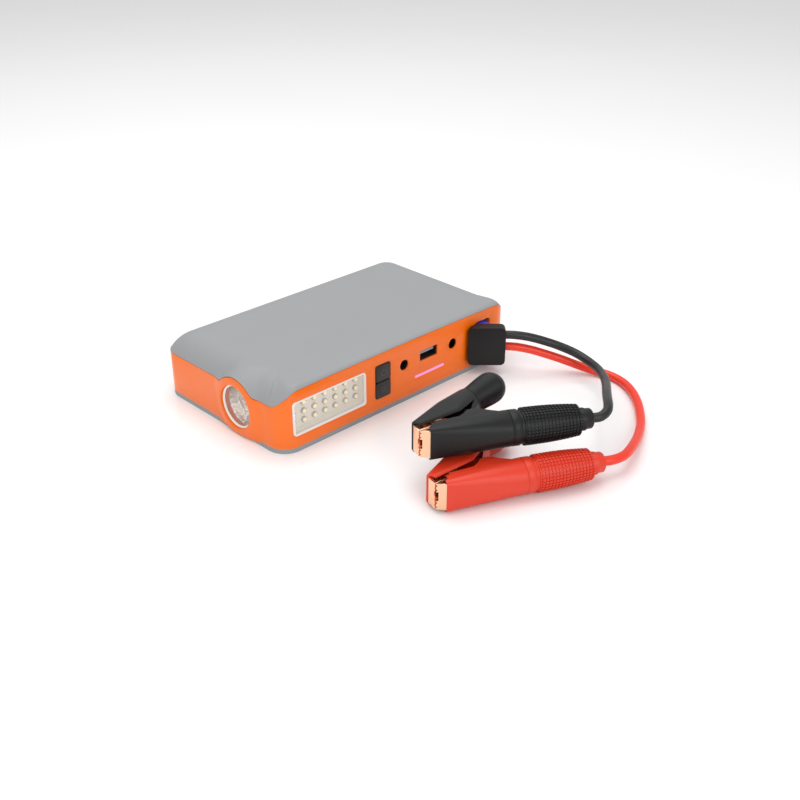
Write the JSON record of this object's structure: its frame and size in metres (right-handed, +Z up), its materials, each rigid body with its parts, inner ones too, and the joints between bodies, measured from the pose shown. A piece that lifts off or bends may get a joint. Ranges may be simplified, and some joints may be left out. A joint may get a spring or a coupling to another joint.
{
  "type": "jump starter pack",
  "caption": "Pocket jump starter pack with rounded grey and orange case, torch, work light and ports, and a plug-in lead set of two cables with spring clamps.",
  "frame": {"origin": "centre of the pack's flat underside, at the surface it lies on", "axes": "+X along the pack's long side away from the torch, -Y out of the side with the ports, +Z up"},
  "size_m": [0.1904, 0.229, 0.0366],
  "materials": {
    "cover_grey": "soft-touch, satin",
    "band_orange": "satin gloss",
    "clear_window": "clear",
    "reflector": "bright, faceted",
    "led": "phosphor",
    "board": "solder mask",
    "board_pale": "white solder mask",
    "key_black": "satin",
    "steel": "plated",
    "tongue_grey": "satin",
    "black_plastic": "fine grain",
    "indicator_pink": "translucent, lit",
    "connector_blue": "satin",
    "gold": "plated",
    "foil": "laminate foil",
    "copper_bar": "bare",
    "lead_red": "satin",
    "cable_black": "satin",
    "cable_red": "satin",
    "clamp_black": "satin grain",
    "clamp_red": "satin grain",
    "jaw_copper": "plated, bright"
  },
  "bodies": {
    "pack": {"top_cover": "cover_grey", "side_frame": "band_orange", "bottom_cover": "cover_grey", "torch_lens": "clear_window", "torch_reflector": "reflector", "torch_led": "led", "torch_board": "board", "work_light_lens": "clear_window", "work_light_leds": "led", "work_light_board": "board_pale", "button_switches": "steel", "button_board": "board", "main_board": "board", "usb_port": "steel", "usb_tongue": "tongue_grey", "dc_out_jack": "black_plastic", "dc_in_jack": "black_plastic", "jack_pins": "steel", "indicator_light": "indicator_pink", "indicator_leds": "led", "output_socket": "connector_blue", "output_socket_contacts": "gold", "battery_cells": "foil", "battery_tray": "black_plastic", "cell_busbars": "copper_bar", "battery_leads": "lead_red", "board_screws": "steel", "case_screws": "steel"},
    "power_key": {"power_button": "key_black"},
    "light_key": {"light_button": "key_black"},
    "lead_set": {"plug_housing": "black_plastic", "plug_cover": "black_plastic", "plug_connector": "connector_blue", "plug_contacts": "gold", "black_cable": "cable_black", "red_cable": "cable_red", "black_cable_shell": "clamp_black", "black_cable_grip": "clamp_black", "black_cable_jaw": "jaw_copper", "black_pivot_pin": "steel", "black_spring": "steel", "red_cable_shell": "clamp_red", "red_cable_grip": "clamp_red", "red_cable_jaw": "jaw_copper", "red_pivot_pin": "steel", "red_spring": "steel"},
    "black_lever": {"black_lever_shell": "clamp_black", "black_lever_grip": "clamp_black", "black_lever_jaw": "jaw_copper"},
    "red_lever": {"red_lever_shell": "clamp_red", "red_lever_grip": "clamp_red", "red_lever_jaw": "jaw_copper"}
  },
  "joints": [
    {"name": "power_key_press", "type": "slide", "parent": "pack", "child": "power_key", "axis": [0, 1, 0], "range_m": [0, 0.0008], "stiffness_N_per_m": 1500, "springref_m": -0.0006},
    {"name": "light_key_press", "type": "slide", "parent": "pack", "child": "light_key", "axis": [0, 1, 0], "range_m": [0, 0.0008], "stiffness_N_per_m": 1500, "springref_m": -0.0006},
    {"name": "lead_set_pull", "type": "slide", "parent": "pack", "child": "lead_set", "axis": [0, -1, 0], "range_m": [0, 0.018]},
    {"name": "black_lever_pivot", "type": "hinge", "parent": "lead_set", "child": "black_lever", "pos_m": [-0.03021, -0.12854, 0.0275], "axis": [0, 0, -1], "range_deg": [0, 24], "stiffness_Nm_per_rad": 1.2, "springref_deg": -45.84},
    {"name": "red_lever_pivot", "type": "hinge", "parent": "lead_set", "child": "red_lever", "pos_m": [-0.0357, -0.1429, 0.0092], "axis": [0, 0, -1], "range_deg": [0, 24], "stiffness_Nm_per_rad": 1.2, "springref_deg": -45.84}
  ]
}
